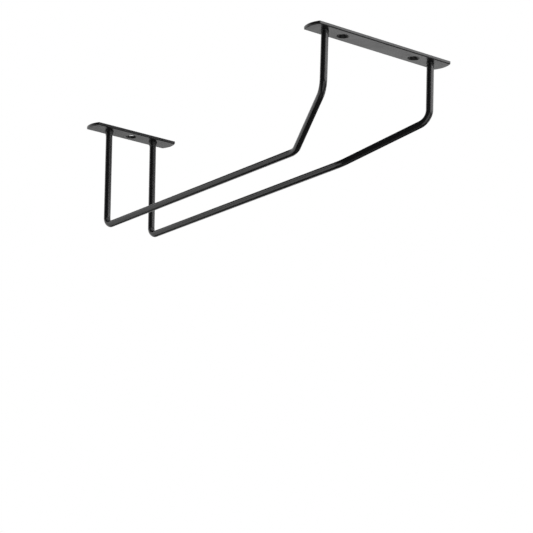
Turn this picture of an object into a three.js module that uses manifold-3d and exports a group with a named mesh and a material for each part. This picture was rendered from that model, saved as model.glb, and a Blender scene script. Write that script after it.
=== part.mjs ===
import * as THREE from "three";
import { mergeVertices } from "three/addons/utils/BufferGeometryUtils.js";
import Module from "manifold-3d";

// Hanging wine glass rack: two bent steel rods welded under two screw-on plates.
// Millimetres. X runs across the rack, -Y is its open front and +Z points at the shelf above.
// The origin is the middle of the front plate's top face, which lies against the shelf.

// Rods, placed by their centre lines. Each drop is measured down from the shelf.
const rodDiameter = 4.5;
const railSpacing = 37;
const frontPostSpacing = 85;
const railLength = 201; // along Y, from the foot of the rear post to the flare
const flareLength = 54; // along Y, from the rail to the front post
const rearPostDrop = 70;
const railFrontDrop = 60; // less than the rear, so that the rails fall away from the mouth
const frontPostDrop = 38.5;
const rearBendRadius = 5.5;
const flareBendRadius = 9;
const frontBendRadius = 9.5;

// Plates. An overhang runs from a post's centre line to the tip of the plate's end.
const plateThickness = 2;
const plateWidth = 15;
const plateEndBulge = 1.8; // how far the arc at each end stands out past its corners
const plateEdgeBevel = 0.3;
const frontPlateOverhang = 11.8;
const rearPlateOverhang = 15.4;

// Screw holes. The front pair is countersunk below, so that flush heads keep the mouth free.
const screwToPost = 14; // from a front post's centre line to the hole beside it
const frontHoleDiameter = 3.8;
const countersinkDiameter = 7.8; // at the plate's underside
const countersinkLand = 0.5; // what is left of the plain bore above the countersink
const rearHoleDiameter = 7;
const cutOverrun = 1; // how far a cutting tool stands out past both faces

// Weld collars, one round the top of each post. A leg runs along the plate, outside the bore.
const weldClearance = 0.25; // between a rod and the bore of its collar
const frontWeldLeg = 0.45;
const frontWeldHeight = 1.6;
const rearWeldLeg = 0.8;
const rearWeldHeight = 2.4;
const weldLip = 0.2; // what is left of a leg at the collar's lower edge

// Facets.
const rodSides = 24;
const bendStepAngle = THREE.MathUtils.degToRad(9);
const plateArcSides = 20;
const plateBevelSteps = 2;
const holeSides = 28;
const weldSides = 32;
const weldProfileSteps = 5;

// A bend may use up this share of the shorter run beside it.
const bendReachShare = 0.45;

const rodRadius = rodDiameter / 2;
const railSlope = (rearPostDrop - railFrontDrop) / railLength;
const rearPostLean = (rearPostDrop - plateThickness) * railSlope; // square to the sloping rail
const rackDepth = flareLength + railLength + rearPostLean;
const frontPlateLength = frontPostSpacing + 2 * frontPlateOverhang;
const rearPlateLength = railSpacing + 2 * rearPlateOverhang;
const frontScrewX = frontPostSpacing / 2 - screwToPost;

const plateCoat = new THREE.MeshStandardMaterial({
  name: "satin black powder coat on the plates",
  color: 0x202021,
  roughness: 0.42,
  metalness: 0.15,
});
const rodCoat = new THREE.MeshStandardMaterial({
  name: "satin black powder coat on the rods",
  color: 0x19191a,
  roughness: 0.36,
  metalness: 0.15,
});
const weldCoat = new THREE.MeshStandardMaterial({
  name: "satin black powder coat over the welds",
  color: 0x131314,
  roughness: 0.5,
  metalness: 0.15,
});

const wasm = await Module();
wasm.setup();

function solidOf(geometry) {
  const bare = geometry.clone();
  bare.deleteAttribute("normal");
  bare.deleteAttribute("uv");
  const merged = mergeVertices(bare);
  return new wasm.Manifold(
    new wasm.Mesh({
      numProp: 3,
      vertProperties: merged.attributes.position.array,
      triVerts: new Uint32Array(merged.index.array),
    }),
  );
}

function cut(blank, tools) {
  const mesh = tools.reduce((rest, tool) => rest.subtract(solidOf(tool)), solidOf(blank)).getMesh();
  const geometry = new THREE.BufferGeometry();
  geometry.setAttribute("position", new THREE.BufferAttribute(mesh.vertProperties, mesh.numProp));
  geometry.setIndex(new THREE.BufferAttribute(mesh.triVerts, 1));
  const faceted = geometry.toNonIndexed();
  faceted.computeVertexNormals();
  return faceted;
}

// The centre line of a bent rod: straight runs between corners, with a true arc in each corner.
// It has a station at both ends of every run and at even angles round every bend. Its end
// headings are given, because the rod's ends are cut flat to their plates.
class BentLine extends THREE.Curve {
  constructor(corners, bendRadii, startHeading, endHeading) {
    super();
    this.stations = [];
    const last = corners.length - 1;
    const runs = corners.slice(1).map((corner, i) => corner.clone().sub(corners[i]));
    const headings = runs.map((run) => run.clone().normalize());
    this.stations.push({ point: corners[0], heading: startHeading });
    for (let i = 1; i < last; i++) {
      const into = headings[i - 1];
      const out = headings[i];
      const turn = into.angleTo(out);
      const reachLimit = bendReachShare * Math.min(runs[i - 1].length(), runs[i].length());
      const reach = Math.min(bendRadii[i - 1] * Math.tan(turn / 2), reachLimit);
      const radius = reach / Math.tan(turn / 2);
      const inward = out.clone().sub(into).normalize();
      const centre = corners[i].clone().addScaledVector(inward, radius / Math.cos(turn / 2));
      const arm = corners[i].clone().addScaledVector(into, -reach).sub(centre);
      const axis = into.clone().cross(out).normalize();
      const steps = Math.max(2, Math.ceil(turn / bendStepAngle));
      for (let k = 0; k <= steps; k++) {
        const angle = (turn * k) / steps;
        this.stations.push({
          point: arm.clone().applyAxisAngle(axis, angle).add(centre),
          heading: into.clone().applyAxisAngle(axis, angle),
        });
      }
    }
    this.stations.push({ point: corners[last], heading: endHeading });
  }

  get spans() {
    return this.stations.length - 1;
  }

  // A sweep's rings fall on the stations and not at even lengths.
  getUtoTmapping(u) {
    return u;
  }

  stationsAt(t) {
    const place = t * this.spans;
    const before = Math.min(Math.floor(place), this.spans - 1);
    return [this.stations[before], this.stations[before + 1], place - before];
  }

  getPoint(t, target = new THREE.Vector3()) {
    const [a, b, blend] = this.stationsAt(t);
    return target.lerpVectors(a.point, b.point, blend);
  }

  getTangent(t, target = new THREE.Vector3()) {
    const [a, b, blend] = this.stationsAt(t);
    return target.lerpVectors(a.heading, b.heading, blend).normalize();
  }
}

// One rod, from the top of its rear post down, forward along the rail, out and up along the
// flare, and up its front post. Its own origin is the top of the rear post. Side is -1 or 1.
function bentRod(side) {
  const spread = (side * (frontPostSpacing - railSpacing)) / 2;
  const centreLine = new BentLine(
    [
      new THREE.Vector3(0, 0, 0),
      new THREE.Vector3(0, -rearPostLean, plateThickness - rearPostDrop),
      new THREE.Vector3(0, flareLength - rackDepth, plateThickness - railFrontDrop),
      new THREE.Vector3(spread, -rackDepth, plateThickness - frontPostDrop),
      new THREE.Vector3(spread, -rackDepth, 0),
    ],
    [rearBendRadius, flareBendRadius, frontBendRadius],
    new THREE.Vector3(0, 0, -1),
    new THREE.Vector3(0, 0, 1),
  );
  const section = new THREE.Shape().absarc(0, 0, rodRadius, 0, 2 * Math.PI);
  return new THREE.ExtrudeGeometry(section, {
    extrudePath: centreLine,
    steps: centreLine.spans,
    curveSegments: rodSides / 2,
  });
}

// A flat bar with an arc at each end and bevelled edges. Its own origin is the middle of its
// top face.
function plateBlank(length) {
  const halfWidth = plateWidth / 2;
  const endRadius = (halfWidth ** 2 + plateEndBulge ** 2) / (2 * plateEndBulge);
  const endCentre = length / 2 - endRadius;
  const endAngle = Math.atan2(halfWidth, endRadius - plateEndBulge);
  const outline = new THREE.Shape();
  outline.absarc(endCentre, 0, endRadius, -endAngle, endAngle);
  outline.absarc(-endCentre, 0, endRadius, Math.PI - endAngle, Math.PI + endAngle);
  outline.closePath();
  const geometry = new THREE.ExtrudeGeometry(outline, {
    depth: plateThickness - 2 * plateEdgeBevel,
    bevelThickness: plateEdgeBevel,
    bevelSize: plateEdgeBevel,
    bevelOffset: -plateEdgeBevel,
    bevelSegments: plateBevelSteps,
    curveSegments: plateArcSides / 2,
  });
  return geometry.translate(0, 0, plateEdgeBevel - plateThickness);
}

// The tool for a screw hole at x. Each wall point has its radius and its height, and they run
// from the plate's underside up to its top face.
function holeTool(x, wall) {
  const bottom = wall[0];
  const top = wall[wall.length - 1];
  const profile = [
    new THREE.Vector2(0, bottom.y - cutOverrun),
    new THREE.Vector2(bottom.x, bottom.y - cutOverrun),
    ...wall,
    new THREE.Vector2(top.x, top.y + cutOverrun),
    new THREE.Vector2(0, top.y + cutOverrun),
  ];
  return new THREE.LatheGeometry(profile, holeSides).rotateX(Math.PI / 2).translate(x, 0, 0);
}

function frontPlate() {
  const boreRadius = frontHoleDiameter / 2;
  const wall = [
    new THREE.Vector2(countersinkDiameter / 2, -plateThickness),
    new THREE.Vector2(boreRadius, -countersinkLand),
    new THREE.Vector2(boreRadius, 0),
  ];
  return cut(plateBlank(frontPlateLength), [holeTool(-frontScrewX, wall), holeTool(frontScrewX, wall)]);
}

// The rear hole is plain, with the same bevel as the plate's outer edges.
function rearPlate() {
  const boreRadius = rearHoleDiameter / 2;
  const wall = [
    new THREE.Vector2(boreRadius + plateEdgeBevel, -plateThickness),
    new THREE.Vector2(boreRadius, plateEdgeBevel - plateThickness),
    new THREE.Vector2(boreRadius, -plateEdgeBevel),
    new THREE.Vector2(boreRadius + plateEdgeBevel, 0),
  ];
  return cut(plateBlank(rearPlateLength), [holeTool(0, wall)]);
}

// A ring of weld metal, full at the plate and rounded off down the rod.
// Its own origin is on the rod's axis at the plate's underside.
function weldCollar(leg, height) {
  const bore = rodRadius + weldClearance;
  const profile = [new THREE.Vector2(bore, 0), new THREE.Vector2(bore, -height)];
  for (let k = 0; k <= weldProfileSteps; k++) {
    const angle = (Math.PI / 2) * (1 - k / weldProfileSteps);
    const width = weldLip + (leg - weldLip) * Math.cos(angle);
    profile.push(new THREE.Vector2(bore + width, -height * Math.sin(angle)));
  }
  profile.push(profile[0].clone());
  return new THREE.LatheGeometry(profile, weldSides).rotateX(Math.PI / 2);
}

function piece(name, geometry, material, x, y, z) {
  const mesh = new THREE.Mesh(geometry, material);
  mesh.name = name;
  mesh.position.set(x, y, z);
  return mesh;
}

const group = new THREE.Group();
group.name = "hanging wine glass rack";

group.add(piece("front_plate", frontPlate(), plateCoat, 0, 0, 0));
group.add(piece("rear_plate", rearPlate(), plateCoat, 0, rackDepth, 0));

for (const [hand, side] of [["left", -1], ["right", 1]]) {
  const rearX = (side * railSpacing) / 2;
  const frontX = (side * frontPostSpacing) / 2;
  const rod = bentRod(side);
  const frontWeld = weldCollar(frontWeldLeg, frontWeldHeight);
  const rearWeld = weldCollar(rearWeldLeg, rearWeldHeight);
  group.add(piece(`${hand}_rail`, rod, rodCoat, rearX, rackDepth, -plateThickness));
  group.add(piece(`front_${hand}_weld`, frontWeld, weldCoat, frontX, 0, -plateThickness));
  group.add(piece(`rear_${hand}_weld`, rearWeld, weldCoat, rearX, rackDepth, -plateThickness));
}

export default group;
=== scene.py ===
# Hanging wine glass rack: two bent rods under two screw plates, in satin black powder coat.
# Metres. +X runs across the rack, -Y is its open front and +Z points at the shelf above.
import math
import bmesh
import bpy
import numpy as np
from mathutils import Matrix, Vector


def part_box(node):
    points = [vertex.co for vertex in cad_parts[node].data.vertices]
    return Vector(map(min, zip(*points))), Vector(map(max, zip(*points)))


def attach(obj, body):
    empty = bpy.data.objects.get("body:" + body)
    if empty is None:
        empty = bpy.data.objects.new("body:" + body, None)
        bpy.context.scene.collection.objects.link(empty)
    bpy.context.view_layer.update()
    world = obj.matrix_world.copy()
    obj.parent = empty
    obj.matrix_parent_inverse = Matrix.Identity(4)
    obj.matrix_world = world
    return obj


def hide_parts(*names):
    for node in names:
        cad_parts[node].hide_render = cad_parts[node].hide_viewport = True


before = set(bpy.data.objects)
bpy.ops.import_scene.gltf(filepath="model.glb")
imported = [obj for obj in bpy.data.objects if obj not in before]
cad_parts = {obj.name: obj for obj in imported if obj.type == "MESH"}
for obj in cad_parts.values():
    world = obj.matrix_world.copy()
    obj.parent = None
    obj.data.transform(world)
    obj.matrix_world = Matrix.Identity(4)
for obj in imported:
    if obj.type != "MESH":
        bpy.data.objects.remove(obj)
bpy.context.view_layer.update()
print("frame loaded with", len(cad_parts), "nodes")

mm = 0.001
degree = math.pi / 180


# Meshes from grids of points


# Each quad joins a point to the next one along the rows and the next one along the columns.
def gridQuads(rows, columns, wrapRows, wrapColumns):
    row, column = np.meshgrid(
        np.arange(rows if wrapRows else rows - 1),
        np.arange(columns if wrapColumns else columns - 1),
        indexing="ij",
    )
    nextRow = (row + 1) % rows
    nextColumn = (column + 1) % columns
    corners = [
        row * columns + column,
        nextRow * columns + column,
        nextRow * columns + nextColumn,
        row * columns + nextColumn,
    ]
    return np.stack(corners, axis=-1).reshape(-1, 4)


# The normals of a grid that wraps round both ways: the cross product of its two directions.
def wrappedNormals(points):
    along = np.roll(points, -1, 0) - np.roll(points, 1, 0)
    around = np.roll(points, -1, 1) - np.roll(points, 1, 1)
    normals = np.cross(along, around)
    return normals / np.linalg.norm(normals, axis=-1, keepdims=True)


# One closed solid from patches that meet at their edges. A patch is a grid of points, with the
# true normal of the surface at every point, and it may wrap round in either direction.
def solidFromPatches(name, patches, joinDistance=0.0005 * mm):
    quads = []
    start = 0
    for patch in patches:
        rows, columns = patch["points"].shape[:2]
        quads.append(gridQuads(rows, columns, *patch["wrap"]) + start)
        start += rows * columns
    mesh = bpy.data.meshes.new(name)
    points = np.concatenate([patch["points"].reshape(-1, 3) for patch in patches])
    mesh.from_pydata(points.tolist(), [], np.concatenate(quads).tolist())
    trueNormals = np.concatenate([patch["normals"].reshape(-1, 3) for patch in patches])
    layer = mesh.attributes.new("trueNormal", "FLOAT_VECTOR", "POINT")
    layer.data.foreach_set("vector", trueNormals.astype(np.float32).ravel())
    joined = bmesh.new()
    joined.from_mesh(mesh)
    bmesh.ops.remove_doubles(joined, verts=joined.verts, dist=joinDistance)
    bmesh.ops.recalc_face_normals(joined, faces=joined.faces)
    openEdges = sum(len(edge.link_faces) != 2 for edge in joined.edges)
    if openEdges:
        print("  ", name, "has", openEdges, "open edges")
    joined.to_mesh(mesh)
    joined.free()
    setTrueNormals(mesh)
    return mesh


# A corner takes the surface's own normal, unless its face turns away from it by over 50 degrees,
# as at the flat end of a rod, where it takes the face's.
def setTrueNormals(mesh, keptTurn=50 * degree):
    pointNormals = np.zeros(len(mesh.vertices) * 3, np.float32)
    mesh.attributes["trueNormal"].data.foreach_get("vector", pointNormals)
    pointNormals = pointNormals.reshape(-1, 3)
    corners = np.zeros(len(mesh.loops), np.int64)
    mesh.loops.foreach_get("vertex_index", corners)
    faceNormals = np.zeros(len(mesh.polygons) * 3, np.float32)
    mesh.polygons.foreach_get("normal", faceNormals)
    sides = np.zeros(len(mesh.polygons), np.int64)
    mesh.polygons.foreach_get("loop_total", sides)
    ofFace = np.repeat(faceNormals.reshape(-1, 3), sides, axis=0)
    ofPoint = pointNormals[corners]
    agreement = (ofPoint * ofFace).sum(1)
    ofPoint = ofPoint * np.sign(agreement)[:, None]
    kept = np.abs(agreement) > math.cos(keptTurn)
    mesh.polygons.foreach_set("use_smooth", np.ones(len(mesh.polygons), bool))
    mesh.normals_split_custom_set(np.where(kept[:, None], ofPoint, ofFace).tolist())
    mesh.attributes.remove(mesh.attributes["trueNormal"])


# The vector divided by its length.
def unit(vector):
    return vector / np.linalg.norm(vector)


# A path of straight runs with a true arc in each corner. In an arc of radius r, a point has
# moved r * sin(angle) along the run before it and r * (1 - cos(angle)) towards the inside.
# Gives the points, the headings, one side direction and the inward direction, which is zero along
# the runs and fades in and out over each bend.
def bentPath(corners, radii, side, arcStep=4 * degree, runStep=None):
    corners = np.asarray(corners, float)
    points, headings, sides, inwards = [corners[:1]], [], [], []
    heading = unit(corners[1] - corners[0])
    side = unit(side - (side @ heading) * heading)
    headings.append(heading[None])
    sides.append(side[None])
    inwards.append(np.zeros((1, 3)))
    for i in range(1, len(corners)):
        run = unit(corners[i] - corners[i - 1])
        last = i == len(corners) - 1
        ahead = run if last else unit(corners[i + 1] - corners[i])
        turn = math.acos(np.clip(run @ ahead, -1, 1))
        reach = 0.0 if last else radii[i - 1] * math.tan(turn / 2)
        arcStart = corners[i] - reach * run
        begin = points[-1][-1]
        count = 1 if runStep is None else max(1, round(np.linalg.norm(arcStart - begin) / runStep))
        share = np.arange(1, count + 1)[:, None] / count
        points.append(begin + share * (arcStart - begin))
        headings.append(np.repeat(run[None], count, 0))
        sides.append(np.repeat(side[None], count, 0))
        inwards.append(np.zeros((count, 3)))
        if last:
            break
        inward = unit(ahead - (ahead @ run) * run)
        across = np.cross(run, inward)
        steps = max(2, math.ceil(turn / arcStep))
        angle = np.arange(1, steps + 1)[:, None] * turn / steps
        inwardNow = np.cos(angle) * inward - np.sin(angle) * run
        points.append(arcStart + radii[i - 1] * (np.sin(angle) * run + (1 - np.cos(angle)) * inward))
        headings.append(np.cos(angle) * run + np.sin(angle) * inward)
        sides.append((side @ across) * across + (side @ inward) * inwardNow)
        inwards.append(inwardNow * np.sin(math.pi * angle / turn))
        side = sides[-1][-1]
    return [np.concatenate(part) for part in (points, headings, sides, inwards)]


# Gives a mesh its coat and puts it into the scene, in place of its CAD node.
def addPiece(mesh, material, node):
    piece = bpy.data.objects.new(mesh.name, mesh)
    bpy.context.scene.collection.objects.link(piece)
    mesh.materials.append(material)
    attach(piece, "root")
    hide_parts(node)


# Powder coat. A fine grain and a broader ripple stand in the normal, the grain's peaks are paler
# and shinier than its hollows, and a slow cloud moves the roughness. The grain hides its own
# shine where it is seen edge on, so the reflection is held back there.
def powderCoat(name, look):
    material = bpy.data.materials.new(name)
    material.use_nodes = True
    nodes, links = material.node_tree.nodes, material.node_tree.links
    shader = nodes["Principled BSDF"]
    shader.inputs["IOR"].default_value = look["ior"]
    place = nodes.new("ShaderNodeTexCoord")
    noiseRange = (0.3, 0.7)  # nearly all of a noise's values lie in it

    def noise(size, detail):
        texture = nodes.new("ShaderNodeTexNoise")
        texture.inputs["Scale"].default_value = 1 / size
        texture.inputs["Detail"].default_value = detail
        links.new(place.outputs["Object"], texture.inputs["Vector"])
        return texture.outputs["Fac"]

    def ranged(value, fromRange, toRange):
        node = nodes.new("ShaderNodeMapRange")
        node.inputs["From Min"].default_value, node.inputs["From Max"].default_value = fromRange
        node.inputs["To Min"].default_value, node.inputs["To Max"].default_value = toRange
        links.new(value, node.inputs["Value"])
        return node.outputs["Result"]

    def bump(height, depth, below=None):
        node = nodes.new("ShaderNodeBump")
        node.inputs["Distance"].default_value = depth
        links.new(height, node.inputs["Height"])
        if below is not None:
            links.new(below, node.inputs["Normal"])
        return node.outputs["Normal"]

    grain = noise(look["grainSize"], detail=2)
    cloud = noise(look["cloudSize"], detail=4)
    rippled = bump(noise(look["rippleSize"], detail=1), look["rippleDepth"])
    links.new(bump(grain, look["grainDepth"], rippled), shader.inputs["Normal"])
    links.new(ranged(cloud, noiseRange, look["roughness"]), shader.inputs["Roughness"])
    tint = nodes.new("ShaderNodeMix")
    tint.data_type = "RGBA"
    links.new(ranged(grain, noiseRange, (0, 1)), tint.inputs["Factor"])
    tint.inputs["A"].default_value = (*look["hollows"], 1)
    tint.inputs["B"].default_value = (*look["peaks"], 1)
    links.new(tint.outputs["Result"], shader.inputs["Base Color"])
    turnedAway = nodes.new("ShaderNodeLayerWeight")
    turnedAway.inputs["Blend"].default_value = 0.5  # makes Facing 1 - cos(angle of view)
    shine = nodes.new("ShaderNodeMath")
    shine.operation = "MULTIPLY"
    links.new(ranged(grain, noiseRange, look["shine"]), shine.inputs[0])
    links.new(ranged(turnedAway.outputs["Facing"], look["edgeOn"], (1, 0)), shine.inputs[1])
    links.new(shine.outputs[0], shader.inputs["Specular IOR Level"])
    return material


plateLook = {
    "hollows": (0.016, 0.016, 0.017),
    "peaks": (0.036, 0.036, 0.037),
    "shine": (0.48, 0.72),  # in the hollows and on the peaks
    "roughness": (0.28, 0.34),
    "ior": 1.52,
    "edgeOn": (0.8, 0.97),  # where the shine begins to fade and where it is gone
    "grainSize": 0.75 * mm,
    "grainDepth": 0.014 * mm,
    "rippleSize": 2.4 * mm,
    "rippleDepth": 0.02 * mm,
    "cloudSize": 14 * mm,
}
rodLook = {
    "hollows": (0.012, 0.012, 0.013),
    "peaks": (0.024, 0.024, 0.025),
    "shine": (0.52, 0.70),
    "roughness": (0.21, 0.27),
    "ior": 1.5,
    "edgeOn": (0.72, 0.93),
    "grainSize": 0.6 * mm,
    "grainDepth": 0.005 * mm,
    "rippleSize": 1.8 * mm,
    "rippleDepth": 0.012 * mm,
    "cloudSize": 20 * mm,
}
weldLook = {
    "hollows": (0.009, 0.009, 0.010),
    "peaks": (0.020, 0.020, 0.021),
    "shine": (0.40, 0.60),
    "roughness": (0.30, 0.48),
    "ior": 1.5,
    "edgeOn": (0.72, 0.93),
    "grainSize": 0.4 * mm,
    "grainDepth": 0.014 * mm,
    "rippleSize": 0.9 * mm,
    "rippleDepth": 0.04 * mm,
    "cloudSize": 3 * mm,
}
plateCoat = powderCoat("satin black powder coat on plates", plateLook)
rodCoat = powderCoat("satin black powder coat on rods", rodLook)
weldCoat = powderCoat("satin black powder coat over welds", weldLook)
print("powder coats made")


# Places that the pieces share, taken from the frame

frontLow, frontHigh = (np.array(corner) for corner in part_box("front_plate"))
rearLow, rearHigh = (np.array(corner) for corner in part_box("rear_plate"))
railLow, railHigh = (np.array(corner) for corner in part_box("right_rail"))
frontMiddle = (frontLow + frontHigh) / 2
rearMiddle = (rearLow + rearHigh) / 2
underside = frontLow[2]
hands = {"left": -1, "right": 1}  # and the side of X that each is on


# Rods

rodSizes = {
    "diameter": 4.5 * mm,
    "flareLength": 54 * mm,  # along Y, from the front post to the rail
    "railFrontHeight": -60 * mm,
    "frontBendHeight": -38.5 * mm,
    "rearBendRadius": 5.5 * mm,
    "flareBendRadius": 16 * mm,
    "frontBendRadius": 9.5 * mm,
    "squeeze": 0.05,  # how much a bend flattens the section, as a share of its radius
    "intoPlate": 0.05 * mm,  # so that no gap shows at a rod's end
    "sides": 48,
    "runStep": 6 * mm,
    "capRings": 2,
}
rodRadius = rodSizes["diameter"] / 2
postX = railHigh[0] - rodRadius
railX = railLow[0] + rodRadius


# A circle carried along the bent path: each point is the path's point plus the radius times
# cos(angle) * side + sin(angle) * other side. A bend flattens it: what lies along the inward
# direction is made shorter there by the squeeze.
def rod(name, side):
    sizes = rodSizes
    rearBend = np.array([side * railX, railHigh[1] - rodRadius, railLow[2] + rodRadius])
    railFront = np.array([side * railX, sizes["flareLength"], sizes["railFrontHeight"]])
    slope = (railFront[2] - rearBend[2]) / (rearBend[1] - railFront[1])
    top = underside + sizes["intoPlate"]
    corners = [
        [side * railX, rearMiddle[1], top],
        [side * railX, rearMiddle[1] - slope * (top - rearBend[2]), rearBend[2]],
        railFront,
        [side * postX, frontMiddle[1], sizes["frontBendHeight"]],
        [side * postX, frontMiddle[1], top],
    ]
    radii = [sizes["rearBendRadius"], sizes["flareBendRadius"], sizes["frontBendRadius"]]
    across = np.array([1.0, 0, 0])
    points, headings, sides, inwards = bentPath(corners, radii, across, runStep=sizes["runStep"])
    headings[0] = (0, 0, -1)  # the rear post leans, and its end is cut flat to the plate
    sides[0] = across
    others = np.cross(headings, sides)
    angle = np.linspace(0, 2 * math.pi, sizes["sides"], endpoint=False)[:, None]
    ring = np.cos(angle) * sides[:, None] + np.sin(angle) * others[:, None]
    alongInward = (ring * inwards[:, None]).sum(-1, keepdims=True) * inwards[:, None]
    skin = points[:, None] + rodRadius * (ring - sizes["squeeze"] * alongInward)
    patches = [{"points": skin, "normals": ring, "wrap": (False, True)}]
    outShare = np.linspace(1, 0, sizes["capRings"] + 1)[:, None, None]
    for end in (0, -1):
        cap = points[end] + outShare * (skin[end] - points[end])
        upward = np.broadcast_to([0, 0, 1.0], cap.shape)
        patches.append({"points": cap, "normals": upward, "wrap": (False, True)})
    return solidFromPatches(name, patches)


for hand, side in hands.items():
    addPiece(rod(hand + "_bent_rod", side), rodCoat, hand + "_rail")
print("rods made")


# Plates

plateSizes = {
    "endBulge": 1.8 * mm,
    "cornerRadius": 0.66 * mm,
    "topRadius": 0.25 * mm,
    "underRadius": 0.62 * mm,  # the side that rolls over when the plate is stamped
    "acrossSteps": 32,  # of an end with its corners, and of each side of the cell round a hole
    "cornerSteps": 5,
    "edgeSteps": 6,
    "stripStep": 2.5 * mm,
    "cellRings": 9,
    "cellSpread": 1.3,  # above 1, the rings of a cell lie closer together near the hole
    "rimReach": 2,  # how far outside a hole its rim's patch starts, in radii of the rim
    "wallArcStep": 15 * degree,
}
frontHole = {
    "toPost": 14 * mm,
    "boreRadius": 1.73 * mm,  # both are a little narrower than the steel's, by its coat
    "mouthRadius": 3.85 * mm,
    "land": 0.5 * mm,  # the straight part of the bore, above the countersink
    "rimRadius": 0.12 * mm,
    "boreRimRadius": 0.05 * mm,
}
rearHole = {"boreRadius": 3.5 * mm, "rimRadius": 0.3 * mm}
mirrorX = np.array([-1, 1])  # a point of the outline times one of these is its mirror image
mirrorY = np.array([1, -1])


# One end of a plate's outline, from its +Y corner to its -Y corner, with its outward normals: a
# large arc that stands out by the bulge, and a small arc that joins it to each long side.
def endOutline(halfLength, halfWidth):
    corner = plateSizes["cornerRadius"]
    bulge = plateSizes["endBulge"]
    endRadius = (halfWidth**2 + bulge**2) / (2 * bulge)
    endCentre = halfLength - endRadius
    cornerY = halfWidth - corner
    cornerX = endCentre + math.sqrt((endRadius - corner) ** 2 - cornerY**2)
    meet = math.atan2(cornerY, cornerX - endCentre)
    cornerSteps = plateSizes["cornerSteps"]
    endSteps = plateSizes["acrossSteps"] - 2 * cornerSteps
    cornerTurn = np.linspace(math.pi / 2, meet, cornerSteps + 1)
    endTurn = np.linspace(meet, -meet, endSteps + 1)
    cornerNormals = np.stack([np.cos(cornerTurn), np.sin(cornerTurn)], -1)
    endNormals = np.stack([np.cos(endTurn), np.sin(endTurn)], -1)
    cornerArc = np.array([cornerX, cornerY]) + corner * cornerNormals
    endArc = np.array([endCentre, 0]) + endRadius * endNormals
    points = np.concatenate([cornerArc[:-1], endArc, (cornerArc * mirrorY)[-2::-1]])
    normals = np.concatenate([cornerNormals[:-1], endNormals, (cornerNormals * mirrorY)[-2::-1]])
    return points, normals


# The points of a square's edge, evenly spaced along its sides, from -1 to 1 both ways.
def squareEdge():
    run = np.linspace(-1, 1, plateSizes["acrossSteps"] + 1)[:-1]
    one = np.ones_like(run)
    sides = ((one, run), (-run, one), (-one, -run), (run, -one))
    return np.concatenate([np.stack(side, -1) for side in sides])


# The angles of those points, seen from the square's middle. The rings of a hole use them too.
def holeAngles():
    square = squareEdge()
    return np.arctan2(square[:, 1], square[:, 0])


# The flat ring from a hole's rim, at share 0, to the edge of the rectangle round it, at share 1.
def holeCell(holeX, rimRadius, halfX, halfY):
    angle = holeAngles()
    circle = rimRadius * np.stack([np.cos(angle), np.sin(angle)], -1)
    rectangle = squareEdge() * np.array([halfX, halfY])
    share = np.linspace(0, 1, plateSizes["cellRings"])[:, None, None] ** plateSizes["cellSpread"]
    return np.array([holeX, 0]) + circle + share * (rectangle - circle)


# Turns a wall, given as radii and heights from the underside up, round the hole's axis:
# x = radius * cos(angle), y = radius * sin(angle). Each of its corners has a rounding. Its normal
# is its heading, turned by a quarter towards the axis.
def holeWall(holeX, wall, rimRadii):
    corners = [[radius, 0, height] for radius, height in wall]
    across = np.array([0, 1.0, 0])
    points, headings, _, _ = bentPath(corners, rimRadii, across, arcStep=plateSizes["wallArcStep"])
    angle = holeAngles()

    def turned(radius, height):
        places = np.broadcast_arrays(radius * np.cos(angle), radius * np.sin(angle), height)
        return np.stack(places, -1)

    skin = turned(points[:, :1], points[:, 2:]) + np.array([holeX, 0, 0])
    normals = turned(-headings[:, 2:], headings[:, :1])
    return {"points": skin, "normals": normals, "wrap": (False, True)}


# Rows of points from one line of points across the plate to another.
def stripBetween(left, right):
    rows = max(1, round((right[0, 0] - left[0, 0]) / plateSizes["stripStep"]))
    share = (np.arange(rows + 1) / rows)[:, None, None]
    return left + share * (right - left)


# The strips of a flat face, between its ends and the square cells round its holes. The face ends
# inside the outline by the inset.
def flatStrips(end, halfWidth, holes, inset):
    endPoints, endNormals = end
    acrossY = np.linspace(halfWidth - inset, inset - halfWidth, plateSizes["acrossSteps"] + 1)
    endLine = endPoints - inset * endNormals
    lines = [endLine * mirrorX]
    for hole in holes:
        for x in (hole["x"] - halfWidth, hole["x"] + halfWidth):
            lines.append(np.stack([np.full_like(acrossY, x), acrossY], -1))
    lines.append(endLine)
    return [stripBetween(lines[i], lines[i + 1]) for i in range(0, len(lines), 2)]


# Both flat faces of a plate: their strips, and the cells round their holes.
def flatFaces(low, high, end, halfWidth, holes):
    faces = (
        ("top", high[2], 1.0, plateSizes["topRadius"]),
        ("under", low[2], -1.0, plateSizes["underRadius"]),
    )
    patches = []
    for face, height, way, inset in faces:
        flats = [(strip, False) for strip in flatStrips(end, halfWidth, holes, inset)]
        for hole in holes:
            flats.append((holeCell(hole["x"], hole[face], halfWidth, halfWidth - inset), True))
        for flat, wraps in flats:
            points = np.concatenate([flat, np.full((*flat.shape[:2], 1), height)], -1)
            normals = np.broadcast_to([0, 0, way], points.shape)
            patches.append({"points": points, "normals": normals, "wrap": (False, wraps)})
    return patches


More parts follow.
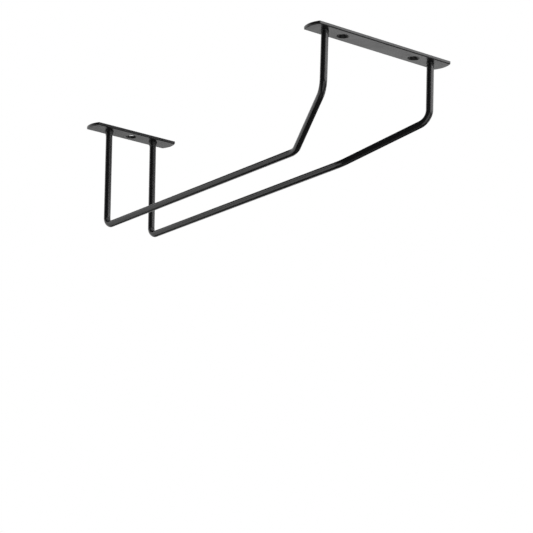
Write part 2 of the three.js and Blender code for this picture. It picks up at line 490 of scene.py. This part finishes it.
# A plate's outline, clockwise from above, with its outward normals. It has its points where those
# of the flat faces are.
def plateOutline(end, halfWidth, holes):
    endPoints, endNormals = end
    cellSpacing = halfWidth * np.linspace(-1, 1, plateSizes["acrossSteps"] + 1)[1:-1]
    longSide = []
    for i, strip in enumerate(flatStrips(end, halfWidth, holes, 0)):
        longSide.append(strip[:, 0])
        if i < len(holes):
            cellX = holes[i]["x"] + cellSpacing
            longSide.append(np.stack([cellX, np.full_like(cellX, halfWidth)], -1))
    longSide = np.concatenate(longSide)
    up = np.tile([0.0, 1.0], (len(longSide), 1))
    mirroredPoints, mirroredNormals = endPoints * mirrorX, endNormals * mirrorX
    points = [longSide, endPoints[1:-1], longSide[::-1] * mirrorY, mirroredPoints[-2:0:-1]]
    normals = [up, endNormals[1:-1], -up, mirroredNormals[-2:0:-1]]
    return np.concatenate(points), np.concatenate(normals)


# The edge between the flat faces: a quarter turn from each, carried round the outline. At each
# angle a point lies radius * (1 - sin(angle)) inside the outline and radius * (1 - cos(angle))
# from its face.
def roundedEdge(low, high, outline, outward):
    quarter = np.linspace(0, math.pi / 2, plateSizes["edgeSteps"] + 1)
    angle = np.concatenate([quarter, quarter[::-1]])[:, None, None]
    upper = np.arange(len(angle))[:, None, None] < len(quarter)
    radius = np.where(upper, plateSizes["topRadius"], plateSizes["underRadius"])
    way = np.where(upper, 1, -1)
    height = np.where(upper, high[2], low[2]) - way * radius * (1 - np.cos(angle))
    tall = np.ones((len(outline), 1))
    points = np.concatenate([outline - radius * (1 - np.sin(angle)) * outward, height * tall], -1)
    normals = np.concatenate([np.sin(angle) * outward, way * np.cos(angle) * tall], -1)
    return {"points": points, "normals": normals, "wrap": (False, True)}


# A plate with round holes, from its flat faces, its edge and the walls of its holes. They are
# worked out about the plate's middle and then moved there.
def plate(name, low, high, holes):
    middle = (low + high) / 2
    halfLength, halfWidth, _ = (high - low) / 2
    end = endOutline(halfLength, halfWidth)
    patches = flatFaces(low, high, end, halfWidth, holes)
    patches.append(roundedEdge(low, high, *plateOutline(end, halfWidth, holes)))
    for hole in holes:
        wall = [(hole["under"], low[2]), *hole["wall"], (hole["top"], high[2])]
        patches.append(holeWall(hole["x"], wall, hole["rims"]))
    for patch in patches:
        patch["points"] = patch["points"] + np.array([middle[0], middle[1], 0])
    return solidFromPatches(name, patches)


# A hole on a plate's long middle line. Its wall is a list of radii and heights from the underside
# up, with a rim radius for each. "under" and "top" are where the flat faces begin round it.
def holeAt(x, wall, rimRadii):
    return {
        "x": x,
        "wall": wall,
        "rims": rimRadii,
        "under": wall[0][0] + plateSizes["rimReach"] * rimRadii[0],
        "top": wall[-1][0] + plateSizes["rimReach"] * rimRadii[-1],
    }


frontWall = [
    (frontHole["mouthRadius"], frontLow[2]),
    (frontHole["boreRadius"], frontHigh[2] - frontHole["land"]),
    (frontHole["boreRadius"], frontHigh[2]),
]
frontRims = [frontHole["rimRadius"], frontHole["rimRadius"], frontHole["boreRimRadius"]]
frontHoleX = postX - frontHole["toPost"]
frontHoles = [holeAt(side * frontHoleX, frontWall, frontRims) for side in hands.values()]
rearWall = [(rearHole["boreRadius"], rearLow[2]), (rearHole["boreRadius"], rearHigh[2])]
rearHoles = [holeAt(0.0, rearWall, [rearHole["rimRadius"], rearHole["rimRadius"]])]
frontPlate = plate("front_screw_plate", frontLow, frontHigh, frontHoles)
addPiece(frontPlate, plateCoat, "front_plate")
rearPlate = plate("rear_screw_plate", rearLow, rearHigh, rearHoles)
addPiece(rearPlate, plateCoat, "rear_plate")
print("plates made")


# Weld beads

weldSizes = {
    "front": {"leg": 0.3 * mm, "height": 1.3 * mm, "bulge": 0.4, "ripples": 9, "lump": 0.25},
    "rear": {"leg": 0.7 * mm, "height": 3.4 * mm, "bulge": 0.75, "ripples": 7, "lump": 0.4},
    "climb": 4,  # the higher, the later the fillet sweeps out to the plate
    # The waves that swell a leg and those that stretch a height: how often each goes up and down
    # round the post, and its share of the lump.
    "legWaves": ((1, 0.6), (3, 0.4)),
    "heightWaves": ((2, 0.4), (5, 0.3)),
    "ripple": 0.07 * mm,
    "rippleTwist": 5,  # radians by which the ripples shift from the toe to the plate
    "toeDepth": 0.02 * mm,  # how far the lower toe lies inside the rod's skin
    "overlap": 0.3 * mm,  # how far the bead goes into the rod and the plate
    "anglesRound": 96,
    "profileSteps": 18,
    "seeds": {"left": 3, "right": 4},
}


# A fillet turned round the post. At share t of the way from its lower toe up to the plate it
# stands out by leg * (bulge * sin(pi t / 2) + (1 - bulge) * t^climb) and lies height * (1 - t)
# below the plate. Leg and height swell and shrink round the post, and ripples mark the welder's
# steps.
def weldBead(name, place, size, seed):
    sizes = weldSizes
    phases = np.random.default_rng(seed).uniform(0, 2 * math.pi, 4)
    angle = np.linspace(0, 2 * math.pi, sizes["anglesRound"], endpoint=False)

    def uneven(waves, wavePhases):  # 1 plus the lump times the sum of the waves
        lumps = [
            lumpShare * np.sin(times * angle + phase)
            for (times, lumpShare), phase in zip(waves, wavePhases)
        ]
        return 1 + size["lump"] * sum(lumps)

    leg = size["leg"] * uneven(sizes["legWaves"], phases[:2])
    height = size["height"] * uneven(sizes["heightWaves"], phases[2:])
    share = np.linspace(0, 1, sizes["profileSteps"])[:, None]
    rippleTurn = size["ripples"] * angle + sizes["rippleTwist"] * share
    ripple = sizes["ripple"] * np.sin(math.pi * share) * np.sin(rippleTurn)
    climb = share ** sizes["climb"]
    fillet = size["bulge"] * np.sin(math.pi * share / 2) + (1 - size["bulge"]) * climb
    out = rodRadius - sizes["toeDepth"] + leg * fillet + ripple
    depth = height * (1 - share)
    inside = np.full((1, len(angle)), rodRadius - sizes["overlap"])
    above = np.full((1, len(angle)), -sizes["overlap"])
    out = np.concatenate([out, out[-1:], inside, inside])
    depth = np.concatenate([depth, above, above, depth[:1]])
    skin = np.stack([out * np.cos(angle), out * np.sin(angle), -depth], -1) + np.array(place)
    patch = {"points": skin, "normals": wrappedNormals(skin), "wrap": (True, True)}
    return solidFromPatches(name, [patch])


for end, x, y in (("front", postX, frontMiddle[1]), ("rear", railX, rearMiddle[1])):
    for hand, side in hands.items():
        place = (side * x, y, underside)
        bead = weldBead(f"{end}_{hand}_bead", place, weldSizes[end], weldSizes["seeds"][hand])
        addPiece(bead, weldCoat, f"{end}_{hand}_weld")
print("weld beads made")


# Camera, fitted to the photograph

cameraView = {
    "place": (-0.83445, -0.95704, -0.44996),
    "azimuth": -38.237,  # of the way it looks, in degrees from +Y towards -X
    "elevation": 13.709,
    "roll": 1.99,
    "focalPixels": 2214.99,
    "imagePixels": 533,
    "sensorMillimetres": 36,
    "clip": (0.05, 50),
}


# Looks along (-sin(azimuth) cos(elevation), cos(azimuth) cos(elevation), sin(elevation)). The roll
# turns its level right and its upright about that line.
def addCamera(view):
    data = bpy.data.cameras.new("camera")
    data.sensor_width = view["sensorMillimetres"]
    data.lens = view["focalPixels"] * view["sensorMillimetres"] / view["imagePixels"]
    data.clip_start, data.clip_end = view["clip"]
    azimuth, elevation, roll = (view[key] * degree for key in ("azimuth", "elevation", "roll"))
    flat = math.cos(elevation)
    forward = Vector((-math.sin(azimuth) * flat, math.cos(azimuth) * flat, math.sin(elevation)))
    level = Vector((math.cos(azimuth), math.sin(azimuth), 0))
    upright = level.cross(forward)
    right = math.cos(roll) * level + math.sin(roll) * upright
    up = math.cos(roll) * upright - math.sin(roll) * level
    camera = bpy.data.objects.new("camera", data)
    turn = Matrix((right, up, -forward)).transposed().to_4x4()
    camera.matrix_world = Matrix.Translation(view["place"]) @ turn
    bpy.context.scene.collection.objects.link(camera)
    bpy.context.scene.camera = camera


addCamera(cameraView)
print("camera placed")


# Studio: white surroundings, dark flags that shape what the gloss shows, and one soft lamp

studio = {
    "middle": (0, 0.13, -0.035),
    "floorHeight": -1.5,
    "floorHalf": 12,
    "floorColour": 0.85,
    "floorGlow": 0.9,
    "surroundings": 1.0,  # how bright they look
    "ambient": 0.12,  # how much they light the object
    "flagRadius": 1.3,
    "flagPoints": 25,  # along each side of a flag
    "clothColour": 0.02,
    "darkGlow": 0.03,  # of a flag or card that gives no glow of its own
    # Azimuths are measured from +X towards +Y, in degrees.
    "flags": {
        "camera_band": {"azimuths": (150, 395), "elevations": (-3, 35)},
        "camera_low": {"azimuths": (150, 395), "elevations": (-72, -58)},
        "left_high": {"azimuths": (150, 190), "elevations": (35, 62)},
        "left_low": {"azimuths": (172, 234), "elevations": (-58, -3)},
        "front_low": {"azimuths": (286, 326), "elevations": (-58, -3)},
        "front_lower_right": {"azimuths": (326, 395), "elevations": (-58, -36)},
        "right_low": {"azimuths": (368, 395), "elevations": (-36, -3)},
        "back_top": {"azimuths": (35, 150), "elevations": (31, 62)},
        "back_high_left": {"azimuths": (134, 150), "elevations": (4, 31)},
        "back_low_left": {"azimuths": (78, 150), "elevations": (-72, -38.5)},
        "back_low_right": {"azimuths": (35, 78), "elevations": (-72, -33)},
        "below": {"azimuths": (0, 360), "elevations": (-90, -72), "glow": 0.3},
        "back_strip": {"azimuths": (54, 72), "elevations": (-33, -6), "glow": 0.6},
    },
    # Small dark cards near the rack. Each faces its target.
    "cards": {
        "rear_edge": {"centre": (0.095, 0.1, 0.05), "target": (0, 0.25, 0), "size": (0.15, 0.07)},
        "rear_low": {"centre": (0.078, 0.448, -0.187), "target": (-0.018, 0.25, -0.07), "size": (0.1, 0.1)},
    },
    # The lamp lights the coats' colour. Their gloss shows its face instead, a lower bright card.
    "lamp": {
        "azimuth": -54,
        "elevation": 17,
        "distance": 0.7,
        "size": (1.3, 0.6),
        "power": 5.0,
        "faceSize": (1.3, 0.34),
        "faceGlow": 2.2,
    },
}


# The unit vector at an azimuth and an elevation: cos and sin of the azimuth, each times the cos of
# the elevation, and the sin of the elevation.
def directionAt(azimuth, elevation):
    turn, lift = azimuth * degree, elevation * degree
    return np.stack([np.cos(lift) * np.cos(turn), np.cos(lift) * np.sin(turn), np.sin(lift)], -1)


# Camera, glossy and transmission rays see one shader, and all others, which light the object, the
# other.
def seenColour(nodes, links, seenShader, otherShader, output):
    path = nodes.new("ShaderNodeLightPath")
    sees = path.outputs["Is Camera Ray"]
    for rayKind in ("Is Glossy Ray", "Is Transmission Ray"):
        either = nodes.new("ShaderNodeMath")
        either.operation = "MAXIMUM"
        links.new(sees, either.inputs[0])
        links.new(path.outputs[rayKind], either.inputs[1])
        sees = either.outputs[0]
    mix = nodes.new("ShaderNodeMixShader")
    links.new(sees, mix.inputs["Fac"])
    links.new(otherShader, mix.inputs[1])
    links.new(seenShader, mix.inputs[2])
    links.new(mix.outputs[0], output)


# White to look at, and a faint white light on the object.
def addWorld():
    world = bpy.data.worlds.new("white studio")
    bpy.context.scene.world = world
    world.use_nodes = True
    nodes, links = world.node_tree.nodes, world.node_tree.links
    seen = nodes["Background"]
    ambient = nodes.new("ShaderNodeBackground")
    for background, strength in ((seen, studio["surroundings"]), (ambient, studio["ambient"])):
        background.inputs["Color"].default_value = (1, 1, 1, 1)
        background.inputs["Strength"].default_value = strength
    output = nodes["World Output"].inputs["Surface"]
    seenColour(nodes, links, seen.outputs[0], ambient.outputs[0], output)


# A diffuse floor that also glows for the rays that see it, so that it is pale and still holds the
# rack's shadow.
def addFloor():
    half, height = studio["floorHalf"], studio["floorHeight"]
    mesh = bpy.data.meshes.new("floor")
    corners = [(-half, -half, height), (half, -half, height), (half, half, height), (-half, half, height)]
    mesh.from_pydata(corners, [], [(0, 1, 2, 3)])
    floor = bpy.data.objects.new("floor", mesh)
    material = bpy.data.materials.new("pale floor")
    material.use_nodes = True
    nodes, links = material.node_tree.nodes, material.node_tree.links
    nodes.remove(nodes["Principled BSDF"])
    dull = nodes.new("ShaderNodeBsdfDiffuse")
    dull.inputs["Color"].default_value = (studio["floorColour"],) * 3 + (1,)
    glow = nodes.new("ShaderNodeEmission")
    glow.inputs["Strength"].default_value = studio["floorGlow"]
    both = nodes.new("ShaderNodeAddShader")
    links.new(dull.outputs[0], both.inputs[0])
    links.new(glow.outputs[0], both.inputs[1])
    output = nodes["Material Output"].inputs["Surface"]
    seenColour(nodes, links, both.outputs[0], dull.outputs[0], output)
    mesh.materials.append(material)
    bpy.context.scene.collection.objects.link(floor)


# A cloth bent round the rack: part of a sphere between two azimuths and two elevations.
def addFlag(name, flag):
    count = studio["flagPoints"]
    azimuths, elevations = (np.linspace(*flag[key], count) for key in ("azimuths", "elevations"))
    azimuth, elevation = np.meshgrid(azimuths, elevations, indexing="ij")
    points = np.array(studio["middle"]) + studio["flagRadius"] * directionAt(azimuth, elevation)
    quads = gridQuads(count, count, False, False)
    mesh = bpy.data.meshes.new(name)
    mesh.from_pydata(points.reshape(-1, 3).tolist(), [], quads.tolist())
    showInGloss(name, mesh, flag.get("glow", studio["darkGlow"]))


# The turn and place of something that looks at its target along its own -Z, with its Y upright.
def facing(centre, target):
    turn = (Vector(centre) - Vector(target)).to_track_quat("Z", "Y")
    return Matrix.Translation(centre) @ turn.to_matrix().to_4x4()


# A flat card, across the Z axis of its place.
def addCard(name, place, size, glow):
    mesh = bpy.data.meshes.new(name)
    halfWide, halfHigh = size[0] / 2, size[1] / 2
    corners = [(-halfWide, -halfHigh), (halfWide, -halfHigh), (halfWide, halfHigh), (-halfWide, halfHigh)]
    mesh.from_pydata([place @ Vector((x, y, 0)) for x, y in corners], [], [(0, 1, 2, 3)])
    showInGloss(name, mesh, glow)


# Flags and cards show in the gloss and nowhere else.
def showInGloss(name, mesh, glow):
    material = bpy.data.materials.new(name + " cloth")
    material.use_nodes = True
    shader = material.node_tree.nodes["Principled BSDF"]
    shader.inputs["Base Color"].default_value = (studio["clothColour"],) * 3 + (1,)
    shader.inputs["Roughness"].default_value = 1
    shader.inputs["Emission Color"].default_value = (1, 1, 1, 1)
    shader.inputs["Emission Strength"].default_value = glow
    mesh.materials.append(material)
    flag = bpy.data.objects.new(name, mesh)
    flag.visible_camera = False
    flag.visible_diffuse = False
    flag.visible_shadow = False
    bpy.context.scene.collection.objects.link(flag)


# An area lamp that faces the middle of the rack and is left out of the gloss, and its face.
def addLamp(lamp):
    data = bpy.data.lights.new("soft lamp", "AREA")
    data.shape = "RECTANGLE"
    data.size, data.size_y = lamp["size"]
    data.energy = lamp["power"]
    light = bpy.data.objects.new("soft lamp", data)
    middle = np.array(studio["middle"])
    centre = middle + lamp["distance"] * directionAt(lamp["azimuth"], lamp["elevation"])
    light.matrix_world = facing(centre, middle)
    light.visible_camera = False
    light.visible_glossy = False
    bpy.context.scene.collection.objects.link(light)
    addCard("lamp_face", facing(centre, middle), lamp["faceSize"], lamp["faceGlow"])


addWorld()
addFloor()
for flagName, flagValues in studio["flags"].items():
    addFlag(flagName, flagValues)
for cardName, card in studio["cards"].items():
    addCard(cardName, facing(card["centre"], card["target"]), card["size"], studio["darkGlow"])
addLamp(studio["lamp"])
bpy.context.scene.view_settings.view_transform = "Standard"
print("studio lit")
